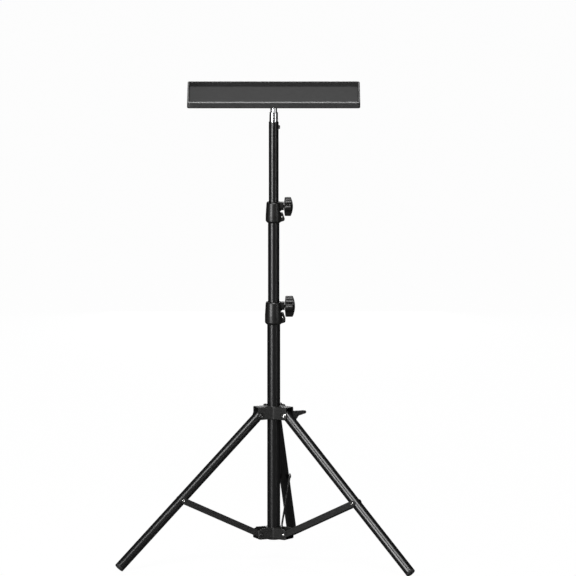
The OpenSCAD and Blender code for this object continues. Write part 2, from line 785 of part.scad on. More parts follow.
column_tube();
column_plug();
lower_spider();
lower_rivets();
lower_collar();
lower_collar_screw();
upper_spider();
leg_rivets();
clamp_bolt();
clamp_lever();
leg_tube(left_az);  // left_leg_tube
leg_plug(left_az);  // left_leg_plug
leg_pin(left_az);  // left_leg_pin
foot(left_az);  // left_foot
leg_tube(right_az);  // right_leg_tube
leg_plug(right_az);  // right_leg_plug
leg_pin(right_az);  // right_leg_pin
foot(right_az);  // right_foot
leg_tube(back_az);  // back_leg_tube
leg_plug(back_az);  // back_leg_plug
leg_pin(back_az);  // back_leg_pin
foot(back_az);  // back_foot
brace(left_az);  // left_brace
brace_rivet(left_az);  // left_brace_rivet
brace(right_az);  // right_brace
brace_rivet(right_az);  // right_brace_rivet
brace(back_az);  // back_brace
brace_rivet(back_az);  // back_brace_rivet
middle_tube();
middle_bush();
upper_collar();
upper_collar_screw();
top_tube();
top_bush();
spigot();
spigot_screw();
tray_pan();
tray_mat();
tray_flange();
tray_screws();
lower_knob();
upper_knob();
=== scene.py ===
import json
import math

import bmesh
import bpy
from mathutils import Matrix, Vector


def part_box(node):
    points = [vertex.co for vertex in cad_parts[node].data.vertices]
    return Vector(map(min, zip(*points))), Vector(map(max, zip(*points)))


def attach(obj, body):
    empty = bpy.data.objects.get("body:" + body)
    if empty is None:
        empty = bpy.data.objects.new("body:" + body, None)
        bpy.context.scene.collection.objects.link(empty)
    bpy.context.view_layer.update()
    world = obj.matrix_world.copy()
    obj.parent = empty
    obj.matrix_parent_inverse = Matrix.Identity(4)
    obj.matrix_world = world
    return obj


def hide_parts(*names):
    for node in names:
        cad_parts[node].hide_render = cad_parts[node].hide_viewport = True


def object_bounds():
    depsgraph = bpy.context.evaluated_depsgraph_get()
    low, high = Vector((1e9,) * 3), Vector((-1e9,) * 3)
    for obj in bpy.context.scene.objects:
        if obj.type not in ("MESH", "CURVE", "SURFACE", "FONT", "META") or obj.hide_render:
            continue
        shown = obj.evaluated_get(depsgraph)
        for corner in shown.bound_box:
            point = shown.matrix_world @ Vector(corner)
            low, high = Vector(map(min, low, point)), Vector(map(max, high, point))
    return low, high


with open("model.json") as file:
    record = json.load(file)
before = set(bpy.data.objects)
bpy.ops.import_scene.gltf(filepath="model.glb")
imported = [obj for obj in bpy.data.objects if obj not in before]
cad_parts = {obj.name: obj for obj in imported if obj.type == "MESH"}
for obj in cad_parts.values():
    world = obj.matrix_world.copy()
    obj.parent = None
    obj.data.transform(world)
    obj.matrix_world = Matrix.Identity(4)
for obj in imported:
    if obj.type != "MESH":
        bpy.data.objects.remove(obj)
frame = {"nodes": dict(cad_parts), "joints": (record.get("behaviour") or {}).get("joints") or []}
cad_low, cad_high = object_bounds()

# Column: the fixed lowest tube of the mast, 25 mm drawn steel with a 1.2 mm wall.
# It is cut square, deburred at both ends and sprayed gloss black after cutting.
up = Vector((0, 0, 1))
tube_wall = 0.0012
tube_lip = 0.0004
fine_round = 96
column_low, column_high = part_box("column_tube")
mast = Vector(((column_low.x + column_high.x) / 2, (column_low.y + column_high.y) / 2, 0))


def rounded(corners, steps=4):
    """Closed outline with each corner (x, y, radius) turned into an arc."""
    outline = []
    for i, (x, y, radius) in enumerate(corners):
        here = Vector((x, y))
        if not radius:
            outline.append((x, y))
            continue
        back = (Vector(corners[i - 1][:2]) - here).normalized()
        ahead = (Vector(corners[(i + 1) % len(corners)][:2]) - here).normalized()
        half = back.angle(ahead) / 2
        centre = here + (back + ahead).normalized() * radius / math.sin(half)
        first = here + back * radius / math.tan(half)
        last = here + ahead * radius / math.tan(half)
        for k in range(steps + 1):
            spoke = (first.lerp(last, k / steps) - centre).normalized()
            outline.append(tuple(centre + spoke * radius))
    return outline


def standing(origin, direction):
    """Place of a part that is drawn along +Z and stands along a direction in the frame."""
    return Matrix.Translation(origin) @ up.rotation_difference(Vector(direction)).to_matrix().to_4x4()


def skinned(shape, rings, place, closed=False):
    """Skin over rings of (x, y, z) points, one after the other. A ring of one point is a tip."""
    made = [[shape.verts.new(place @ Vector(point)) for point in ring] for ring in rings]
    around = max(len(ring) for ring in made)
    for below, above in zip(made, made[1:] + made[:1] if closed else made[1:]):
        for k in range(around):
            corners = [below[k % len(below)], below[(k + 1) % len(below)]]
            corners += [above[(k + 1) % len(above)], above[k % len(above)]]
            corners = list(dict.fromkeys(corners))
            if len(corners) > 2:
                shape.faces.new(corners)
    if not closed:
        for ring in (made[0], made[-1]):
            if len(ring) > 2:
                shape.faces.new(ring)


def circle(radius, height, around=64):
    """Ring of points, or a tip where the radius is nought."""
    count = around if radius > 1e-7 else 1
    turns = [math.tau * k / around for k in range(count)]
    return [(radius * math.cos(turn), radius * math.sin(turn), height) for turn in turns]


def turned(shape, outline, place, around=64, closed=False):
    """Turns an outline of (radius, height) pairs about the place's Z axis."""
    skinned(shape, [circle(radius, height, around) for radius, height in outline], place, closed)


def piece(name, shape, finish, slot, body, *nodes, crease=35):
    """Makes a finished shape into an object on its body, in place of the plain nodes it stands for."""
    bmesh.ops.recalc_face_normals(shape, faces=shape.faces)
    mesh = bpy.data.meshes.new(name)
    shape.to_mesh(mesh)
    shape.free()
    mesh.shade_smooth()
    mesh.set_sharp_from_angle(angle=math.radians(crease))
    mesh.materials.append(finish)
    made = bpy.data.objects.new(name, mesh)
    bpy.context.scene.collection.objects.link(made)
    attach(made, body)
    if nodes:
        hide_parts(*nodes)
    even = made.modifiers.new("even shading", "WEIGHTED_NORMAL")
    even.keep_sharp = True
    return made


def span(node, origin, direction):
    """Start, end and radius of a round node along an axis through the origin."""
    places = [vertex.co - origin for vertex in frame["nodes"][node].data.vertices]
    steps = [place.dot(direction) for place in places]
    radius = max((place - direction * step).length for place, step in zip(places, steps))
    return min(steps), max(steps), radius


def tube(name, node, body, origin, direction):
    """Open tube with rounded lips at both ends, in place of its plain node."""
    start, end, radius = span(node, origin, direction)
    inside = radius - tube_wall
    shape = bmesh.new()
    turned(shape, rounded([
        (radius, start, tube_lip), (radius, end, tube_lip),
        (inside, end, tube_lip), (inside, start, tube_lip)
    ]), standing(origin, direction), around=fine_round, closed=True)
    piece(name, shape, tube_paint, "tube_paint", body, node)


def new_group(name, inputs, outputs):
    """Empty shader node group with named sockets."""
    group = bpy.data.node_groups.new(name, "ShaderNodeTree")
    for label, value in inputs.items():
        socket = group.interface.new_socket(name=label, in_out="INPUT", socket_type="NodeSocketFloat")
        socket.default_value = value
    for label, kind in outputs.items():
        group.interface.new_socket(name=label, in_out="OUTPUT", socket_type=kind)
    return group, group.nodes.new("NodeGroupInput"), group.nodes.new("NodeGroupOutput")


def sum_node(tree, operation, *values):
    """Math node on values or on other nodes' sockets."""
    node = tree.nodes.new("ShaderNodeMath")
    node.operation = operation
    for slot_number, value in enumerate(values):
        if isinstance(value, bpy.types.NodeSocket):
            tree.links.new(value, node.inputs[slot_number])
        else:
            node.inputs[slot_number].default_value = value
    return node.outputs[0]


def at_scale(group, size):
    """Object coordinates counted in grains of a size."""
    place = group.nodes.new("ShaderNodeTexCoord")
    stretch = group.nodes.new("ShaderNodeVectorMath")
    stretch.operation = "SCALE"
    group.links.new(place.outputs["Object"], stretch.inputs[0])
    group.links.new(sum_node(group, "DIVIDE", 1.0, size), stretch.inputs["Scale"])
    return stretch.outputs[0]


def noise_on(group, vector, detail, distortion=0.0):
    """Noise texture on coordinates, from about 0 to 1."""
    noise = group.nodes.new("ShaderNodeTexNoise")
    noise.inputs["Scale"].default_value = 1.0
    noise.inputs["Detail"].default_value = detail
    group.links.new(vector, noise.inputs["Vector"])
    if isinstance(distortion, bpy.types.NodeSocket):
        group.links.new(distortion, noise.inputs["Distortion"])
    else:
        noise.inputs["Distortion"].default_value = distortion
    return noise.outputs["Fac"]


def make_grain_group():
    """Fine grain of a sprayed, coated or moulded surface: a height in metres and a mask from 0 to 1."""
    group, given, out = new_group(
        "Surface grain", {"Grain size": 0.001, "Depth": 0.00001, "Flow": 1.0},
        {"Height": "NodeSocketFloat", "Mask": "NodeSocketFloat"}
    )
    noise = noise_on(group, at_scale(group, given.outputs["Grain size"]), 2.5, given.outputs["Flow"])
    centred = sum_node(group, "SUBTRACT", noise, 0.5)
    group.links.new(sum_node(group, "MULTIPLY", centred, given.outputs["Depth"]), out.inputs["Height"])
    contrast = 3.0
    sharpened = sum_node(group, "MULTIPLY_ADD", centred, contrast, 0.5)
    limited = sum_node(group, "MINIMUM", sum_node(group, "MAXIMUM", sharpened, 0.0), 1.0)
    group.links.new(limited, out.inputs["Mask"])
    return group


def make_touch_group():
    """Uneven gloss left by handling and packing: a roughness round a mean value, in soft patches."""
    group, given, out = new_group(
        "Handling", {"Mean": 0.4, "Swing": 0.08, "Patch size": 0.03}, {"Roughness": "NodeSocketFloat"}
    )
    noise = noise_on(group, at_scale(group, given.outputs["Patch size"]), 5.0)
    centred = sum_node(group, "SUBTRACT", noise, 0.5)
    swung = sum_node(group, "MULTIPLY", centred, sum_node(group, "MULTIPLY", given.outputs["Swing"], 2.0))
    group.links.new(sum_node(group, "ADD", swung, given.outputs["Mean"]), out.inputs["Roughness"])
    return group


def make_edge_group():
    """Softened edges: a normal that rounds them, and a mask of where the finish is rubbed along them."""
    spread, patch = 5.0, 0.011
    group, given, out = new_group(
        "Soft edges", {"Radius": 0.0005, "Rub": 0.5},
        {"Normal": "NodeSocketVector", "Mask": "NodeSocketFloat"}
    )
    soft = group.nodes.new("ShaderNodeBevel")
    soft.samples = 4
    group.links.new(given.outputs["Radius"], soft.inputs["Radius"])
    group.links.new(soft.outputs["Normal"], out.inputs["Normal"])
    flat = group.nodes.new("ShaderNodeNewGeometry")
    meeting = group.nodes.new("ShaderNodeVectorMath")
    meeting.operation = "DOT_PRODUCT"
    group.links.new(soft.outputs["Normal"], meeting.inputs[0])
    group.links.new(flat.outputs["Normal"], meeting.inputs[1])
    off = sum_node(group, "SUBTRACT", 1.0, meeting.outputs["Value"])
    widened = sum_node(group, "MULTIPLY", off, spread)
    noise = noise_on(group, at_scale(group, patch), 4.0)
    broken = sum_node(group, "MULTIPLY", sum_node(group, "MULTIPLY", widened, noise), given.outputs["Rub"])
    group.links.new(sum_node(group, "MINIMUM", broken, 1.0), out.inputs["Mask"])
    return group


def make_scuff_group():
    """Sparse fine scratches and dust: a mask of where they lie, from 0 to 1."""
    speck_share, threshold, contrast = 0.06, 0.34, 9.0
    group, given, out = new_group("Scuffs", {"Amount": 0.3, "Size": 0.02}, {"Mask": "NodeSocketFloat"})
    patches = noise_on(group, at_scale(group, given.outputs["Size"]), 3.0)
    fine = sum_node(group, "MULTIPLY", given.outputs["Size"], speck_share)
    specks = noise_on(group, at_scale(group, fine), 1.0, 1.5)
    both = sum_node(group, "MULTIPLY", patches, specks)
    sparse = sum_node(group, "MULTIPLY", sum_node(group, "SUBTRACT", both, threshold), contrast)
    kept = sum_node(group, "MAXIMUM", sum_node(group, "MINIMUM", sparse, 1.0), 0.0)
    group.links.new(sum_node(group, "MULTIPLY", kept, given.outputs["Amount"]), out.inputs["Mask"])
    return group


grain_group = make_grain_group()
touch_group = make_touch_group()
edge_group = make_edge_group()
scuff_group = make_scuff_group()


def placed(tree, group, **values):
    """Group node in a material, with its own values."""
    node = tree.nodes.new("ShaderNodeGroup")
    node.node_tree = group
    for label, value in values.items():
        node.inputs[label.replace("_", " ")].default_value = value
    return node


def blended(tree, share, first, second):
    """Colour between two colours, by a share from 0 to 1."""
    mix = tree.nodes.new("ShaderNodeMix")
    mix.data_type = "RGBA"
    tree.links.new(share, mix.inputs["Factor"])
    for label, value in (("A", first), ("B", second)):
        socket = next(s for s in mix.inputs if s.name == label and s.type == "RGBA")
        if isinstance(value, bpy.types.NodeSocket):
            tree.links.new(value, socket)
        else:
            socket.default_value = (*value, 1)
    return next(s for s in mix.outputs if s.type == "RGBA")


def coated(name, colour, rubbed, gloss, swing, grain, depth, specular=0.5, edge=0.0004, rub=0.5,
           metallic=0.0, speckle=0.35, flow=0.3, patch=0.03, dust=0.2, dusty=(0.08, 0.078, 0.074)):
    """Finish with grain, uneven gloss, dust and rubbed edges, shared by paint, coating and mouldings."""
    finish = bpy.data.materials.new(name)
    finish.use_nodes = True
    tree = finish.node_tree
    shader = tree.nodes["Principled BSDF"]
    shader.inputs["Specular IOR Level"].default_value = specular
    shader.inputs["Metallic"].default_value = metallic
    grains = placed(tree, grain_group, Grain_size=grain, Depth=depth, Flow=flow)
    touch = placed(tree, touch_group, Mean=gloss, Swing=swing, Patch_size=patch)
    edges = placed(tree, edge_group, Radius=edge, Rub=rub)
    scuffs = placed(tree, scuff_group, Amount=dust, Size=patch)
    darker = tuple(c * (1 - speckle) for c in colour)
    lighter = tuple(c * (1 + speckle) for c in colour)
    ground = blended(tree, grains.outputs["Mask"], darker, lighter)
    ground = blended(tree, scuffs.outputs["Mask"], ground, dusty)
    tree.links.new(blended(tree, edges.outputs["Mask"], ground, rubbed), shader.inputs["Base Color"])
    dust_dulls = 0.3
    duller = sum_node(tree, "MULTIPLY_ADD", scuffs.outputs["Mask"], dust_dulls, touch.outputs["Roughness"])
    tree.links.new(duller, shader.inputs["Roughness"])
    bump = tree.nodes.new("ShaderNodeBump")
    bump.inputs["Distance"].default_value = 1.0
    tree.links.new(grains.outputs["Height"], bump.inputs["Height"])
    tree.links.new(edges.outputs["Normal"], bump.inputs["Normal"])
    tree.links.new(bump.outputs["Normal"], shader.inputs["Normal"])
    return finish


tube_paint = coated(
    "Gloss black tube paint", (0.0024, 0.0024, 0.0025), (0.04, 0.04, 0.04), gloss=0.29, swing=0.02,
    grain=0.004, depth=0.000003, specular=0.5, edge=0.0003, rub=0.3, speckle=0.1, flow=0.0, dust=0.0
)
tube("column", "column_tube", "column", mast, up)


# Plugs: plain black nylon, pressed into the ends of the tubes. The one under the column closes it with
# a rimmed flange, and those on the two sliding tubes guide them inside the tube below.
def dress(node, finish):
    """Gives a node whose shape stays its real finish."""
    mesh = frame["nodes"][node].data
    mesh.materials.clear()
    mesh.materials.append(finish)


plug_nylon = coated(
    "Black nylon", (0.012, 0.012, 0.012), (0.03, 0.03, 0.03), gloss=0.45, swing=0.06,
    grain=0.0006, depth=0.000015, specular=0.4, edge=0.0004, rub=0.3
)
start, end, radius = span("column_plug", mast, up)
stem = radius - tube_wall
flange = start + 0.002
dish = start + 0.0009
gate = start + 0.0004
dish_rim, dish_radius, gate_rim, gate_radius = radius - 0.003, radius - 0.0038, 0.0022, 0.0018
shape = bmesh.new()
turned(shape, [(0, end)] + rounded([
    (stem, end, 0.0008), (stem, flange, 0), (radius, flange, 0.0002), (radius, start, 0.0009),
    (dish_rim, start, 0.0004), (dish_radius, dish, 0.0004),
    (gate_rim, dish, 0.0003), (gate_radius, gate, 0.0002)
], steps=5) + [(0, gate)], standing(mast, up), around=fine_round)
piece("column_cap", shape, plug_nylon, "plug_plastic", "column", "column_plug")
for plug in ("middle_bush", "top_bush"):
    dress(plug, plug_nylon)


# Lower spider: pressed from 2 mm sheet in folded channels that are open at the top, welded round the
# column and coated with textured black powder. The coat is thinner along its folds.
def melted(name, node, finish, body, grain, passes, keep):
    """Copy of a node in the node's place, with its sharp edges melted into the radii of the real part."""
    made = bpy.data.objects.new(name, frame["nodes"][node].data.copy())
    bpy.context.scene.collection.objects.link(made)
    weld = made.modifiers.new("weld", "WELD")
    weld.merge_threshold = 0.000001
    cast = made.modifiers.new("cast", "REMESH")
    cast.mode = "VOXEL"
    cast.voxel_size = grain
    melt = made.modifiers.new("melt", "SMOOTH")
    melt.factor = 0.5
    melt.iterations = passes
    thin = made.modifiers.new("thin", "DECIMATE")
    thin.ratio = keep
    mesh = bpy.data.meshes.new_from_object(made.evaluated_get(bpy.context.evaluated_depsgraph_get()))
    mesh.name = name
    made.modifiers.clear()
    made.data = mesh
    mesh.shade_smooth()
    mesh.materials.clear()
    mesh.materials.append(finish)
    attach(made, body)
    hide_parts(node)


powder_coat = coated(
    "Textured black powder coat", (0.008, 0.008, 0.0078), (0.06, 0.06, 0.058), gloss=0.42, swing=0.08,
    grain=0.0016, depth=0.00013, specular=0.4, edge=0.0007, rub=0.5, speckle=0.5, flow=1.0, dust=0.08
)
melted("lower_bracket", "lower_spider", powder_coat, "column",
       grain=0.00045, passes=5, keep=0.3)

# Rivets: steel, closed over the spider's walls. One head is domed and nickel-plated, and the other is
# rolled over dark, round the hollow of a semi-tubular rivet. The lower ones carry a sleeve for the strips.
rivet_steel = coated(
    "Nickel-plated steel", (0.4, 0.4, 0.39), (0.6, 0.6, 0.59), gloss=0.2, swing=0.05,
    grain=0.0008, depth=0.000008, specular=0.5, edge=0.0002, rub=0.2, metallic=1.0, speckle=0.1,
    patch=0.006, dust=0.25, dusty=(0.2, 0.19, 0.18)
)
rolled_steel = coated(
    "Blackened steel", (0.06, 0.06, 0.06), (0.3, 0.3, 0.29), gloss=0.32, swing=0.05,
    grain=0.0008, depth=0.000008, specular=0.5, edge=0.0003, rub=0.4, metallic=1.0, speckle=0.2, patch=0.006
)
joints = {joint["name"]: joint for joint in frame["joints"]}
sides = ("left", "right", "back")
seated = 0.0005
shank_radius = 0.0025
lower_half_width = 0.0141
lower_head_radius, lower_head_height = 0.004, 0.0024
small_roll_radius = 0.0036
sleeve_radius, sleeve_half = 0.004, 0.0094


def domed_head(shape, place, radius, height):
    """Domed head that stands on the place's XY plane."""
    ball = (radius ** 2 + height ** 2) / (2 * height)
    edge = math.asin(min(radius / ball, 1))
    arc = [edge * (1 - k / 10) for k in range(11)]
    outline = [(0, -seated), (radius, -seated)]
    outline += [(ball * math.sin(turn), height - ball + ball * math.cos(turn)) for turn in arc[:-1]]
    turned(shape, outline + [(0, height)], place)


def rolled_head(shape, place, radius):
    """Head rolled over from a hollow shank: a round bead about a deep dimple."""
    bead = radius * 0.4
    middle = radius - bead
    outline = [(0, -seated), (radius, -seated)]
    for k in range(12):
        turn = math.radians(150) * k / 11
        outline.append((middle + bead * math.cos(turn), bead * math.sin(turn)))
    bore = outline[-1][0] * 0.72
    outline += [(bore, 0), (bore * 0.9, -0.0018), (0, -0.0021)]
    turned(shape, outline, place)


def rod(shape, place, radius, half_length, edge=0.0002):
    """Round bar along the place's Z axis, centred on it."""
    turned(shape, [(0, -half_length)] + rounded([
        (radius, -half_length, edge), (radius, half_length, edge), (0, half_length, 0)
    ], steps=2), place, around=40)


shape, ends = bmesh.new(), bmesh.new()
for side in sides:
    across = Vector(joints[side + "_leg_fold"]["axis"])
    pivot = Vector(joints[side + "_brace_fold"]["pos_m"])
    domed, rolled = pivot - across * lower_half_width, pivot + across * lower_half_width
    domed_head(shape, standing(domed, -across), lower_head_radius, lower_head_height)
    rod(shape, standing(pivot, across), shank_radius, lower_half_width)
    rod(shape, standing(pivot, across), sleeve_radius, sleeve_half)
    rolled_head(ends, standing(rolled, across), small_roll_radius)
piece("lower_rivet_set", shape, rivet_steel, "bright_steel", "column", "lower_rivets")
piece("lower_rivet_ends", ends, rolled_steel, "bright_steel", "column")

# Clamp collars: black glass-filled nylon, moulded in one piece with the knob's boss and the split lug.
# A plated cross screw through the lug closes each collar on its tube.
moulded_nylon = coated(
    "Textured black moulding", (0.0035, 0.0034, 0.0033), (0.03, 0.03, 0.029), gloss=0.36, swing=0.05,
    grain=0.0008, depth=0.00002, specular=0.45, edge=0.0008, rub=0.3, speckle=0.4, dust=0.08
)
melted("lower_clamp", "lower_collar", moulded_nylon, "column",
       grain=0.0004, passes=6, keep=0.3)
melted("upper_clamp", "upper_collar", moulded_nylon, "middle",
       grain=0.0004, passes=6, keep=0.3)
pin_head, pin_head_radius, pin_radius = 0.0015, 0.0023, 0.0016
for node, body in (("lower_collar_screw", "column"), ("upper_collar_screw", "middle")):
    low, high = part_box(node)
    centre = (low + high) / 2
    seat = (high.y - low.y) / 2 - pin_head
    shape = bmesh.new()
    for way in (-1, 1):
        face = centre + Vector((0, way * seat, 0))
        domed_head(shape, standing(face, (0, way, 0)), pin_head_radius, pin_head)
    rod(shape, standing(centre, (0, 1, 0)), pin_radius, seat)
    piece(node.replace("screw", "pin"), shape, rivet_steel, "bright_steel", body, node)

# Upper spider: the same pressed sheet, in channels closed at the top, free to slide on the column.
# Its leg rivets are larger, with broad heads that the legs' tubes turn on.
melted("upper_bracket", "upper_spider", powder_coat, "spider",
       grain=0.00045, passes=5, keep=0.3)
upper_half_width = 0.0122
leg_head_radius, leg_head_height = 0.00725, 0.0039
leg_roll_radius = 0.00575
shape, ends = bmesh.new(), bmesh.new()
for side in sides:
    across = Vector(joints[side + "_leg_fold"]["axis"])
    pivot = Vector(joints[side + "_leg_fold"]["pos_m"])
    domed, rolled = pivot - across * upper_half_width, pivot + across * upper_half_width
    domed_head(shape, standing(domed, -across), leg_head_radius, leg_head_height)
    rod(shape, standing(pivot, across), shank_radius, upper_half_width)
    rolled_head(ends, standing(rolled, across), leg_roll_radius)
piece("leg_rivet_set", shape, rivet_steel, "bright_steel", "spider", "leg_rivets")
piece("leg_rivet_ends", ends, rolled_steel, "bright_steel", "spider")

# Clamp bolt, nut and lever: the bolt draws the spider's split ears together when the moulded lever is
# swung over. The hexagon nut sits on the other side of the ears.
bolt_way = Vector(joints["lever_turn"]["axis"])
bolt_centre = Vector(joints["lever_turn"]["pos_m"])
ears_half = 0.0033
nut_flats = 0.009
nut_height = 0.004
nut_reach = 0.006
nut_seat, nut_face = 0.00465, 0.0046
bolt_radius = 0.0024
bolt_out = 0.0009
lever_depth = 0.006


def hexagon(height, limit):
    """Hexagonal ring whose corners are cut back to a circle."""
    ring = []
    for x, y, _ in circle(1.0, 0, 72):
        turn = math.atan2(y, x)
        reach = nut_flats / 2 / math.cos((turn + math.pi / 6) % (math.pi / 3) - math.pi / 6)
        reach = min(reach, limit)
        ring.append((reach * x, reach * y, height))
    return ring


nut_place = standing(bolt_centre + bolt_way * ears_half, bolt_way)
shape = bmesh.new()
skinned(shape, [
    [(0, 0, 0)], hexagon(0, nut_seat), hexagon(0.0004, nut_reach), hexagon(nut_height - 0.0005, nut_reach),
    hexagon(nut_height, nut_face), circle(bolt_radius + 0.0003, nut_height, 72),
    [(0, 0, nut_height - 0.0003)]
], nut_place)
bolt_foot, bolt_end = nut_height - 0.001, nut_height + bolt_out
turned(shape, [(0, bolt_foot)] + rounded([
    (bolt_radius, bolt_foot, 0), (bolt_radius, bolt_end, 0.0004), (0, bolt_end, 0)
], steps=3), nut_place, around=40)
shank_place = standing(bolt_centre - bolt_way * lever_depth / 2, bolt_way)
rod(shape, shank_place, shank_radius, ears_half + lever_depth / 2)
piece("clamp_nut", shape, rivet_steel, "bright_steel", "spider", "clamp_bolt", crease=28)
melted("lever", "clamp_lever", moulded_nylon, "lever",
       grain=0.0003, passes=6, keep=0.35)

# Legs: 19 mm steel tube in the same gloss paint as the mast, with a nylon plug in the pivot end and a
# plated pin that holds the brace's pivot.
def leg_axis(side):
    """A leg's pivot and the direction in which it runs out from there."""
    pivot = Vector(joints[side + "_leg_fold"]["pos_m"])
    low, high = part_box(side + "_leg_pin")
    return pivot, ((low + high) / 2 - pivot).normalized()


stopper_gap, stopper_dish = 0.0002, 0.0008
stopper_rim, stopper_hollow = 0.0024, 0.003
for side in sides:
    body = side + "_leg"
    pivot, outwards = leg_axis(side)
    tube(body, side + "_leg_tube", body, pivot, outwards)
    start, end, radius = span(side + "_leg_plug", pivot, outwards)
    shape = bmesh.new()
    turned(shape, [(0, start + stopper_dish)] + rounded([
        (radius - stopper_hollow, start + stopper_dish, 0.0004),
        (radius - stopper_rim, start + stopper_gap, 0.0003),
        (radius, start + stopper_gap, 0.0004), (radius, end, 0.0004), (0, end, 0)
    ], steps=3), standing(pivot, outwards))
    piece(side + "_leg_stopper", shape, plug_nylon, "plug_plastic", body, side + "_leg_plug")
    dress(side + "_leg_pin", rivet_steel)

# Feet: moulded rubber plugs, pressed into the ends of the legs with their rounded heads flush outside.
foot_rubber = coated(
    "Black rubber", (0.012, 0.012, 0.012), (0.03, 0.03, 0.03), gloss=0.6, swing=0.08,
    grain=0.0007, depth=0.00003, specular=0.3, edge=0.0008, rub=0.3, dust=0.5
)
foot_head = 0.004
foot_play = 0.0001
foot_dimple, foot_dimple_depth = 0.0045, 0.0007
for side in sides:
    pivot, outwards = leg_axis(side)
    start, end, radius = span(side + "_foot", pivot, outwards)
    stem = radius - tube_wall - foot_play
    shoulder, bottom = end - foot_head, end - foot_dimple_depth
    shape = bmesh.new()
    turned(shape, [(0, start)] + rounded([
        (stem, start, 0.001), (stem, shoulder, 0), (radius, shoulder, 0.0003), (radius, end, 0.0015),
        (foot_dimple, end, 0.0004), (foot_dimple - 0.0005, bottom, 0.0003)
    ], steps=5) + [(0, bottom)], standing(pivot, outwards), around=fine_round)
    piece(side + "_end_cap", shape, foot_rubber, "foot_rubber", side + "_leg", side + "_foot")


# Braces: pairs of flat steel strips with round ends, powder coated like the spiders. A rivet rolled over
# at each side holds them on the leg.
def offset(outline, depth):
    """The same outline, drawn anticlockwise, moved inwards by a depth."""
    moved = []
    for i, (x, y) in enumerate(outline):
        along = (Vector(outline[(i + 1) % len(outline)]) - Vector(outline[i - 1])).normalized()
        moved.append((x - along.y * depth, y + along.x * depth))
    return moved


def plate(shape, outline, place, thickness, edge, steps=3):
    """Flat plate with rounded edges, centred on the place's XY plane."""
    turns = [math.pi / 2 * k / steps for k in range(steps + 1)]
    sides = [(offset(outline, edge * (1 - math.sin(turn))), edge * (1 - math.cos(turn))) for turn in turns]
    rings = [[(x, y, depth - thickness / 2) for x, y in side] for side, depth in sides]
    rings += [[(x, y, thickness / 2 - depth) for x, y in side] for side, depth in reversed(sides)]
    skinned(shape, rings, place)


strip_radius = 0.006
strip_thickness = 0.0018
strip_inside = 0.0099
strip_edge = 0.0005
for side in sides:
    body = side + "_brace"
    across = Vector(joints[side + "_leg_fold"]["axis"])
    pivot = Vector(joints[body + "_fold"]["pos_m"])
    low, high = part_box(side + "_leg_pin")
    rivet_place = (low + high) / 2
    along = (rivet_place - pivot).normalized()
    turn = Matrix((along, across.cross(along), across)).transposed().to_4x4()
    length = (rivet_place - pivot).length
    half_turn = [math.pi * (k / 16 - 0.5) for k in range(17)]
    outline = [(length + strip_radius * math.cos(a), strip_radius * math.sin(a)) for a in half_turn]
    outline += [(-strip_radius * math.cos(a), -strip_radius * math.sin(a)) for a in half_turn]
    shape, ends = bmesh.new(), bmesh.new()
    for way in (-1, 1):
        middle = pivot + across * way * (strip_inside + strip_thickness / 2)
        face = rivet_place + across * way * (strip_inside + strip_thickness)
        plate(shape, outline, Matrix.Translation(middle) @ turn, strip_thickness, strip_edge)
        rolled_head(ends, standing(face, across * way), small_roll_radius)
    piece(side + "_strips", shape, powder_coat, "steel_coat", body, body)
    piece(side + "_strip_rivets", ends, rivet_steel, "bright_steel", body, body + "_rivet")

# Sliding tubes: 22 and 19 mm steel in the same gloss paint. Each runs in the collar on the tube below.
tube("middle", "middle_tube", "middle", mast, up)
tube("top", "top_tube", "top", mast, up)

# Spigot: turned steel with a chamfered shoulder, chromed, pressed into the top tube and locked there by a
# socket screw from the side.
chrome = coated(
    "Bright chrome", (0.75, 0.76, 0.77), (0.8, 0.81, 0.82), gloss=0.1, swing=0.04,
    grain=0.001, depth=0.000002, specular=0.5, edge=0.0003, rub=0.1, metallic=1.0, speckle=0.02,
    patch=0.01, dust=0.1, dusty=(0.3, 0.3, 0.3)
)
low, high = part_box("spigot")
pressed_depth, pressed_radius = 0.024, 0.0082
foot = Vector((mast.x, mast.y, low.z + pressed_depth))
shoulder, neck, stud = (high.x - low.x) / 2, 0.0065, 0.005
shoulder_top, neck_top, stud_top = 0.010, 0.0276, high.z - foot.z
chamfer = 0.0028
shape = bmesh.new()
turned(shape, [(0, -pressed_depth)] + rounded([
    (pressed_radius, -pressed_depth, 0.001), (pressed_radius, 0.0, 0), (shoulder - 0.0007, 0.0, 0.0002),
    (shoulder, 0.0014, 0.0006), (shoulder, shoulder_top - chamfer, 0.0009), (neck, shoulder_top, 0.0008),
    (neck, neck_top, 0.0004), (stud, neck_top, 0), (stud, stud_top, 0.0008)
], steps=5) + [(0, stud_top)], standing(foot, up), around=fine_round)
piece("spigot_turned", shape, chrome, "spigot_chrome", "top", "spigot")


def driven_head(shape, place, radius, height, arm, half_slot):
    """Domed screw head with a cross recess, standing on the place's XY plane."""
    def cross(height, share):
        ring = []
        for k in range(64):
            turn = math.tau * k / 64
            c, s = max(abs(math.cos(turn)), 1e-6), max(abs(math.sin(turn)), 1e-6)
            reach = share * max(min(arm / c, half_slot / s), min(half_slot / c, arm / s))
            ring.append((reach * math.cos(turn), reach * math.sin(turn), height))
        return ring
    crown = [(1.0, 0.3), (0.95, 0.6), (0.82, 0.86), (0.66, 1.0)]
    rings = [[(0, 0, -seated)], circle(radius, -seated)]
    rings += [circle(radius * out, height * rise) for out, rise in crown]
    rings += [cross(height, 1.0), cross(height * 0.35, 0.75), [(0, 0, height * 0.3)]]
    skinned(shape, rings, place)


low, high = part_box("spigot_screw")
lock_head = 0.0026
seat = Vector((high.x - lock_head, mast.y, (low.z + high.z) / 2))
shape = bmesh.new()
driven_head(shape, standing(seat, (1, 0, 0)), radius=0.0038, height=lock_head, arm=0.0019, half_slot=0.0005)
piece("spigot_lock", shape, rivet_steel, "bright_steel", "top", "spigot_screw", crease=28)

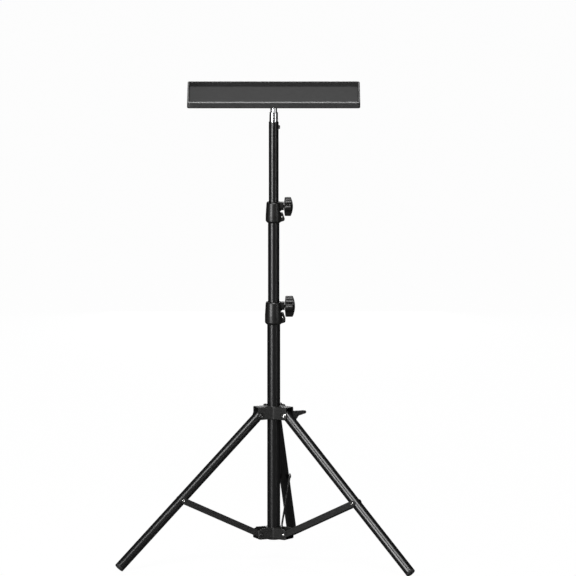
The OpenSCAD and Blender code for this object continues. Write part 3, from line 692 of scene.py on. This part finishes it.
# Tray: moulded pan with a rounded rim and a pebbled skin. The top of the rim carries a painted highlight: a
# lighter band that stands in for the overhead lamp's glint on its rounding.
tray_low, tray_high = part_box("tray_pan")
tray_floor = 0.002
rim_wall = 0.003
rim_round = 0.0022
base_round = 0.002
tray_corner = 0.0055
tray_fillet = 0.0015
mat_gap = 0.0002
lip = rim_wall - rim_round
tray_centre = Vector((mast.x, mast.y, tray_low.z))
half_x, half_y = (tray_high.x - tray_low.x) / 2, (tray_high.y - tray_low.y) / 2
tray_height = tray_high.z - tray_low.z


def frame_ring(inset, height):
    """Rectangle with round corners, moved in from the tray's outside."""
    x, y, r = half_x - inset, half_y - inset, max(tray_corner - inset, 0.0006)
    corners = [(x, -y, r), (x, y, r), (-x, y, r), (-x, -y, r)]
    return [(*point, height) for point in rounded(corners, steps=8)]


quarter = [math.pi / 2 * k / 6 for k in range(7)]
rise = [(1 - math.cos(turn), 1 - math.sin(turn)) for turn in quarter]
rings = [frame_ring(base_round * off, base_round * up_share) for up_share, off in rise]
rings += [frame_ring(rim_round * off, tray_height - rim_round * down) for off, down in rise]
rings += [frame_ring(rim_wall - lip * (1 - off), tray_height - lip * off * 0.9) for off, _ in rise[3:]]
rings += [frame_ring(rim_wall + mat_gap + tray_fillet * off, tray_floor + tray_fillet * down)
          for off, down in rise]
shape = bmesh.new()
skinned(shape, rings, Matrix.Translation(tray_centre))
# The pebbled skin's edges are painted lighter, partly as rub wear and partly as a painted highlight along
# the rim's rounding.
pebbled = coated(
    "Pebbled black tray", (0.008, 0.008, 0.008), (0.16, 0.16, 0.16), gloss=0.5, swing=0.06,
    grain=0.0018, depth=0.00016, specular=0.4, edge=0.0012, rub=0.9, speckle=0.6, flow=0.6, dust=0.05
)
tray = piece("tray_moulding", shape, pebbled, "tray_plastic", "tray", "tray_pan")
# Painted highlight: a lighter finish on the rim's top, in place of the lamp's glint on the rounded lip.
rim_painted_highlight = coated(
    "Tray rim painted highlight", (0.11, 0.11, 0.11), (0.3, 0.3, 0.3), gloss=0.36, swing=0.06,
    grain=0.0018, depth=0.00005, specular=0.5, edge=0.0012, rub=0.5, speckle=0.2, dust=0.05
)
tray.data.materials.append(rim_painted_highlight)
# The band of faces near the top of the rim takes the painted highlight.
highlight_band_depth = rim_round * 0.85
for face in tray.data.polygons:
    face.material_index = int(face.center.z > tray_high.z - highlight_band_depth)

# Grip mat: a thin sheet of dark grey rubber, cut to size and laid loose inside the rim. Its skin is dull
# and finely grained.
mat_rubber = coated(
    "Grip mat", (0.034, 0.034, 0.034), (0.05, 0.05, 0.05), gloss=0.85, swing=0.05,
    grain=0.0012, depth=0.00008, specular=0.08, edge=0.0004, rub=0.2, speckle=0.35
)
low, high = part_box("tray_mat")
mat_x, mat_y, mat_t = (high.x - low.x) / 2, (high.y - low.y) / 2, high.z - low.z
mat_corner, mat_edge = 0.002, 0.0005
shape = bmesh.new()
plate(shape, rounded([
    (mat_x, -mat_y, mat_corner), (mat_x, mat_y, mat_corner),
    (-mat_x, mat_y, mat_corner), (-mat_x, -mat_y, mat_corner)
], steps=6), Matrix.Translation((low + high) / 2), mat_t, mat_edge)
piece("grip_sheet", shape, mat_rubber, "grip_mat", "tray", "tray_mat")

# Flange under the tray: a ribbed nylon moulding with the socket for the spigot, held by four pan-head
# screws with cross recesses.
melted("tray_socket", "tray_flange", moulded_nylon, "tray",
       grain=0.0005, passes=5, keep=0.35)
shape = bmesh.new()
flange_depth, screw_circle = 0.003, 0.028
for x, y, _ in circle(screw_circle, 0, 4):
    place = Vector((mast.x + x, mast.y + y, tray_low.z - flange_depth))
    driven_head(shape, standing(place, -up), radius=0.00375, height=0.0024, arm=0.0022, half_slot=0.0005)
piece("tray_screw_set", shape, rivet_steel, "bright_steel", "tray", "tray_screws", crease=28)

# Clamp knobs: moulded nylon grips with four round lobes, a domed face and a sloping back, each on the end
# of its clamp screw.
knob_crown = 0.0047
knob_back = 0.0072
knob_edge = 0.0018
knob_round = 144
clamp_screw_radius = 0.003


def lobe_reach(angle, reach):
    """Distance from a knob's centre to its edge at an angle: round lobes joined by round hollows."""
    lobe, waist = reach * 0.33, reach * 0.64
    centre = reach - lobe
    hollow = (waist ** 2 + centre ** 2 - lobe ** 2 - math.sqrt(2) * centre * waist)
    hollow /= 2 * lobe - 2 * waist + math.sqrt(2) * centre
    away = waist + hollow
    turn = abs((angle + math.pi / 4) % (math.pi / 2) - math.pi / 4)
    meeting = Vector((centre, 0)).lerp(Vector((away, away)) / math.sqrt(2), lobe / (lobe + hollow))
    if turn < math.atan2(meeting.y, meeting.x):
        return centre * math.cos(turn) + math.sqrt(max(lobe ** 2 - (centre * math.sin(turn)) ** 2, 0))
    gap = math.pi / 4 - turn
    return away * math.cos(gap) - math.sqrt(max(hollow ** 2 - (away * math.sin(gap)) ** 2, 0))


def knob(name, node, body, rim):
    """Lobed knob whose screw points along -X."""
    low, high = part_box(node)
    reach = (high.y - low.y) / 2
    back = high.x - rim - knob_crown
    ball = (reach ** 2 + knob_crown ** 2) / (2 * knob_crown)
    turns = [math.tau * k / knob_round for k in range(knob_round)]
    edge = [(lobe_reach(t, reach) * math.cos(t), lobe_reach(t, reach) * math.sin(t)) for t in turns]
    crest = offset(edge, knob_edge)

    def face_height(x, y):
        return rim + knob_crown - ball + math.sqrt(ball ** 2 - x * x - y * y)

    rings = [circle(knob_back * share, 0, knob_round) for share in (0, 0.5, 1)]
    for inset, height in ((0.0016, 0.0011), (0.0007, 0.0014), (0.0002, 0.002), (0, 0.003)):
        rings.append([(x, y, height) for x, y in offset(edge, inset)])
    for k in range(7):
        turn = math.pi / 2 * k / 6
        side = offset(edge, knob_edge * (1 - math.cos(turn)))
        rings.append([
            (x, y, face_height(*top) - knob_edge * (1 - math.sin(turn))) for (x, y), top in zip(side, crest)
        ])
    for share in (0.93, 0.84, 0.72, 0.58, 0.42, 0.25, 0.1):
        rings.append([(x * share, y * share, face_height(x * share, y * share)) for x, y in crest])
    rings.append([(0, 0, rim + knob_crown)])
    centre = Vector((back, (low.y + high.y) / 2, (low.z + high.z) / 2))
    place = Matrix.Translation(centre) @ Matrix.Rotation(math.pi / 2, 4, "Y")
    shape = bmesh.new()
    skinned(shape, rings, place)
    inner, outer = low.x - back, 0.001
    turned(shape, [(0, inner)] + rounded([
        (clamp_screw_radius, inner, 0.0005), (clamp_screw_radius, outer, 0), (0, outer, 0)
    ], steps=2), place, around=40)
    piece(name, shape, moulded_nylon, "clamp_plastic", body, node, crease=60)


knob("lower_grip_knob", "lower_knob", "lower_knob", rim=0.015)
knob("upper_grip_knob", "upper_knob", "upper_knob", rim=0.0125)

# Studio: a plain pale floor that runs on as the white background and keeps a faint shadow of the stand.
# Soft lamps stand in front, above and behind. Mirrored rays find a soft grey room, dimmer at the back.
floor_half = 60.0
floor_white = 0.97
room_fill = 0.4
shape = bmesh.new()
bmesh.ops.create_grid(shape, x_segments=1, y_segments=1, size=floor_half)
floor_mesh = bpy.data.meshes.new("floor")
shape.to_mesh(floor_mesh)
shape.free()
floor = bpy.data.objects.new("floor", floor_mesh)
floor.location.z = cad_low.z - 0.0002
bpy.context.scene.collection.objects.link(floor)
paper = bpy.data.materials.new("Pale floor")
paper.use_nodes = True
tree = paper.node_tree
ground = tree.nodes["Principled BSDF"]
ground.inputs["Base Color"].default_value = (0.8, 0.8, 0.8, 1)
ground.inputs["Roughness"].default_value = 0.9
ground.inputs["Specular IOR Level"].default_value = 0.1


def mirror_light(tree, coordinates, reach):
    """Light that mirrored rays find: soft in front of the stand and dim behind it."""
    place = tree.nodes.new("ShaderNodeTexCoord")
    parts = tree.nodes.new("ShaderNodeSeparateXYZ")
    fade = tree.nodes.new("ShaderNodeMapRange")
    tree.links.new(place.outputs[coordinates], parts.inputs[0])
    tree.links.new(parts.outputs["Y"], fade.inputs["Value"])
    for label, value in (("From Min", -reach), ("From Max", reach), ("To Min", 0.15), ("To Max", 0.02)):
        fade.inputs[label].default_value = value
    return fade.outputs["Result"]


path = tree.nodes.new("ShaderNodeLightPath")
mirrored = sum_node(tree, "MAXIMUM", path.outputs["Is Glossy Ray"], path.outputs["Is Transmission Ray"])
share = sum_node(tree, "MULTIPLY_ADD", path.outputs["Is Camera Ray"], floor_white, mirrored)
glow = tree.nodes.new("ShaderNodeEmission")
dimmed = sum_node(tree, "MULTIPLY", mirrored, mirror_light(tree, "Object", 0.6))
tree.links.new(sum_node(tree, "ADD", path.outputs["Is Camera Ray"], dimmed), glow.inputs["Strength"])
mix = tree.nodes.new("ShaderNodeMixShader")
tree.links.new(share, mix.inputs["Fac"])
tree.links.new(ground.outputs[0], mix.inputs[1])
tree.links.new(glow.outputs[0], mix.inputs[2])
under = tree.nodes.new("ShaderNodeMixShader")
clear = tree.nodes.new("ShaderNodeBsdfTransparent")
facing = tree.nodes.new("ShaderNodeNewGeometry")
tree.links.new(facing.outputs["Backfacing"], under.inputs["Fac"])
tree.links.new(mix.outputs[0], under.inputs[1])
tree.links.new(clear.outputs[0], under.inputs[2])
tree.links.new(under.outputs[0], tree.nodes["Material Output"].inputs["Surface"])
floor_mesh.materials.append(paper)

world = bpy.data.worlds.new("Studio air")
bpy.context.scene.world = world
world.use_nodes = True
sky = world.node_tree
air = sky.nodes["Background"]
air.inputs["Color"].default_value = (1, 1, 1, 1)
path = sky.nodes.new("ShaderNodeLightPath")
mirrored = sum_node(sky, "MAXIMUM", path.outputs["Is Glossy Ray"], path.outputs["Is Transmission Ray"])
others = sum_node(sky, "SUBTRACT", 1.0, sum_node(sky, "MAXIMUM", path.outputs["Is Camera Ray"], mirrored))
shine = mirror_light(sky, "Generated", 0.4)
dimmed = sum_node(sky, "MULTIPLY_ADD", mirrored, shine, path.outputs["Is Camera Ray"])
sky.links.new(sum_node(sky, "MULTIPLY_ADD", others, room_fill, dimmed), air.inputs["Strength"])


def softbox(name, azimuth, elevation, distance, width, height, power, aim_height=0.5):
    """Rectangular lamp aimed at the mast. Azimuth 0 is the front, 90 the right."""
    middle = Vector((mast.x, mast.y, aim_height))
    a, e = math.radians(azimuth), math.radians(elevation)
    away = Vector((math.sin(a) * math.cos(e), -math.cos(a) * math.cos(e), math.sin(e)))
    lamp = bpy.data.lights.new(name, "AREA")
    lamp.shape = "RECTANGLE"
    lamp.size = width
    lamp.size_y = height
    lamp.energy = power
    held = bpy.data.objects.new(name, lamp)
    held.location = middle + away * distance
    held.rotation_euler = away.to_track_quat("Z", "Y").to_euler()
    held.visible_camera = False
    bpy.context.scene.collection.objects.link(held)


softbox("key strip", azimuth=-37.5, elevation=4, distance=3.0, width=0.8, height=1.3, power=72,
        aim_height=0.55)
softbox("right strip", azimuth=47, elevation=4, distance=3.2, width=0.5, height=1.3, power=9,
        aim_height=0.55)
softbox("overhead", azimuth=-4, elevation=47, distance=2.6, width=1.3, height=0.9, power=52)
softbox("rear strip", azimuth=180, elevation=0, distance=3.0, width=0.7, height=0.8, power=9,
        aim_height=0.3)
softbox("rear overhead", azimuth=180, elevation=45, distance=2.6, width=1.2, height=0.9, power=30)

# Camera: far off with a long lens, level with nothing, looking slightly down as in the photo.
view_distance = 40.51
view_pitch = math.radians(9.104)
aim_right, aim_height = 0.0275, 0.5308
aim = Vector((mast.x + aim_right, mast.y, aim_height))
camera_data = bpy.data.cameras.new("camera")
camera_data.sensor_width = 36
camera_data.lens = 1315.2
camera_data.clip_end = 300
camera = bpy.data.objects.new("camera", camera_data)
camera.location = aim + Vector((0, -math.cos(view_pitch), math.sin(view_pitch))) * view_distance
camera.rotation_euler = (math.pi / 2 - view_pitch, 0, 0)
bpy.context.scene.collection.objects.link(camera)
bpy.context.scene.camera = camera
bpy.context.scene.view_settings.view_transform = "Standard"
